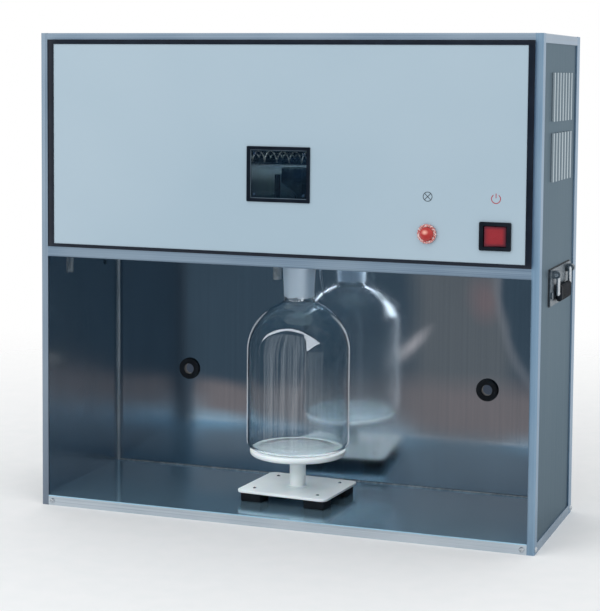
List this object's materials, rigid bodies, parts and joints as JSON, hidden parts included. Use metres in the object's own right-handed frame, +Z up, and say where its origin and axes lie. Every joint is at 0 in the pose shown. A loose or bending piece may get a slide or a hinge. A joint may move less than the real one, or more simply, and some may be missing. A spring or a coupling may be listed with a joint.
{
  "type": "glass water distiller",
  "caption": "Bench cabinet with a windowed boiler compartment over an open bay, where a round-shouldered glass bottle stands on a footed stand under the outlet.",
  "frame": {"origin": "centre of the underside of the base plate", "axes": "+X to the right seen from the front, -Y out of the open front, +Z up"},
  "size_m": [0.576, 0.213, 0.526],
  "materials": {
    "angle_aluminium": "satin extruded angle",
    "sheet_steel": "brushed stainless sheet",
    "panel_paint": "satin pale blue-grey",
    "border_black": "black edging strip",
    "window_glass": "clear sheet glass",
    "lamp_red": "ribbed translucent lens with a red dome",
    "moulded_black": "moulded black plastic",
    "rocker_red": "red moulded rocker",
    "rubber_black": "black rubber",
    "plated_steel": "bright plated steel",
    "quartz": "clear fused quartz",
    "coil_wire": "oxidised resistance wire",
    "ceramic_ivory": "steatite ceramic",
    "silicone": "translucent silicone tube",
    "plastic_white": "white machined fluoroplastic"
  },
  "bodies": {
    "cabinet": {"front_post_left": "angle_aluminium", "front_post_right": "angle_aluminium", "rear_post_left": "angle_aluminium", "rear_post_right": "angle_aluminium", "top_rail_front": "angle_aluminium", "top_rail_rear": "angle_aluminium", "top_rail_left": "angle_aluminium", "top_rail_right": "angle_aluminium", "mid_rail": "angle_aluminium", "base_rail_front": "angle_aluminium", "base_rail_rear": "angle_aluminium", "base_rail_left": "angle_aluminium", "base_rail_right": "angle_aluminium", "top_panel": "sheet_steel", "side_panel_left": "sheet_steel", "side_panel_right": "sheet_steel", "rear_panel": "sheet_steel", "base_plate": "sheet_steel", "bay_floor": "sheet_steel", "boiler_shelf": "sheet_steel", "front_panel": "panel_paint", "panel_border": "border_black", "window_frame": "border_black", "window_glass": "window_glass", "window_screws": "plated_steel", "lamp_lens": "lamp_red", "lamp_body": "moulded_black", "switch_housing": "moulded_black", "grommets": "rubber_black", "cord_gland": "moulded_black", "rail_screws": "plated_steel", "handle_pads": "rubber_black", "handle_plates": "plated_steel", "boiler_vessel": "quartz", "cold_finger": "quartz", "cooling_feed_tube": "quartz", "heater_sheaths": "quartz", "heater_coil_front": "coil_wire", "heater_coil_rear": "coil_wire", "heater_caps": "ceramic_ivory", "distillate_funnel": "quartz", "overflow_pipe": "quartz", "overflow_sleeve": "silicone", "feed_port": "quartz", "water_inlet": "quartz", "vent_capillary": "quartz", "outlet_bush": "plastic_white", "boiler_saddles": "plastic_white", "terminal_block": "ceramic_ivory"},
    "stand": {"stand_disc": "plastic_white", "stand_column": "plastic_white", "stand_plate": "plastic_white", "stand_feet": "rubber_black", "stand_screws": "plated_steel"},
    "bottle": {"bottle": "quartz"},
    "rocker": {"switch_rocker": "rocker_red"},
    "handle_left": {"bail_left": "plated_steel", "grip_left": "moulded_black"},
    "handle_right": {"bail_right": "plated_steel", "grip_right": "moulded_black"}
  },
  "joints": [
    {"name": "stand_slide", "type": "slide", "parent": "cabinet", "child": "stand", "axis": [0, -1, 0], "range_m": [0, 0.04]},
    {"name": "bottle_slide", "type": "slide", "parent": "stand", "child": "bottle", "axis": [0, -1, 0], "range_m": [0, 0.16]},
    {"name": "switch_rocker", "type": "hinge", "parent": "cabinet", "child": "rocker", "pos_m": [0.234, -0.0917, 0.322], "axis": [0, 0, -1], "range_deg": [0, 16]},
    {"name": "handle_left", "type": "hinge", "parent": "cabinet", "child": "handle_left", "pos_m": [-0.284, 0.01, 0.2785], "axis": [0, 1, 0], "range_deg": [0, 90]},
    {"name": "handle_right", "type": "hinge", "parent": "cabinet", "child": "handle_right", "pos_m": [0.284, 0.01, 0.2785], "axis": [0, -1, 0], "range_deg": [0, 90]}
  ]
}
